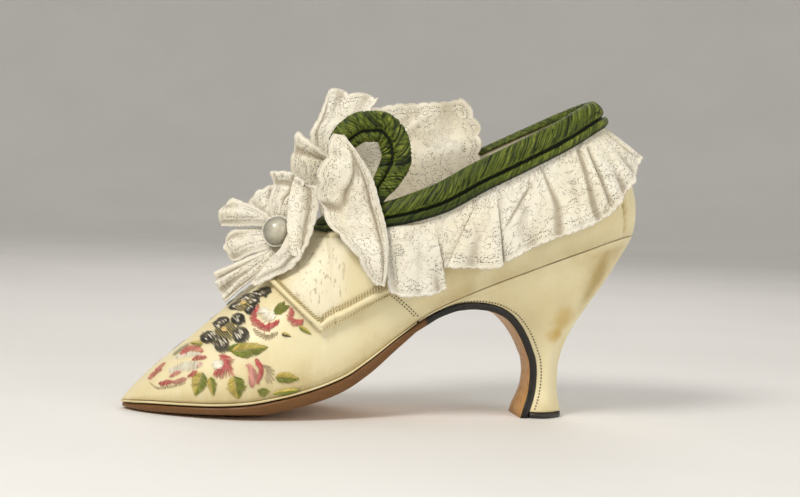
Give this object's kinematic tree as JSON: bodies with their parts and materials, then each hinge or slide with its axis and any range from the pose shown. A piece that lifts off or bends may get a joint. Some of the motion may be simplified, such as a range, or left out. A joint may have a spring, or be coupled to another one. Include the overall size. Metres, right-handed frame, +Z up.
{
  "type": "lady's high-heeled court shoe",
  "caption": "Lady's ivory satin court shoe with a curved high heel, embroidered vamp, instep saddle, ruched green ribbon collar and gathered lace trim with a pearl rosette.",
  "frame": {"origin": "on the floor, on the underside of the heel's top piece, midway across the shoe", "axes": "+X from the toe towards the back of the heel, +Z up, -Y towards the side that carries the rosette and the hanging lace"},
  "size_m": [0.2241, 0.076, 0.141],
  "materials": {
    "ivory_satin": "soft silk satin with embroidered flowers on the vamp",
    "heel_cover": "ivory satin stretched over a wooden heel",
    "braid": "stitched silk braid",
    "sole_leather": "waxed brown leather, blackened along the waist edge",
    "black_leather": "blackened stacked leather",
    "lining": "matt linen lining",
    "lace": "white needle lace",
    "green_ribbon": "ruched green velvet ribbon",
    "pearl": "grey imitation pearl"
  },
  "bodies": {
    "root": {"upper": "ivory_satin", "instep_saddle": "ivory_satin", "saddle_braid": "braid", "heel": "heel_cover", "rand": "heel_cover", "outsole": "sole_leather", "top_piece": "black_leather", "insole": "lining", "collar_ribbon": "green_ribbon", "ribbon_curl": "green_ribbon", "collar_frill": "lace", "lace_drape": "lace", "lace_plume": "lace", "lace_leaf": "lace", "lace_wing": "lace", "rosette": "lace", "pearl_button": "pearl"}
  },
  "joints": []
}
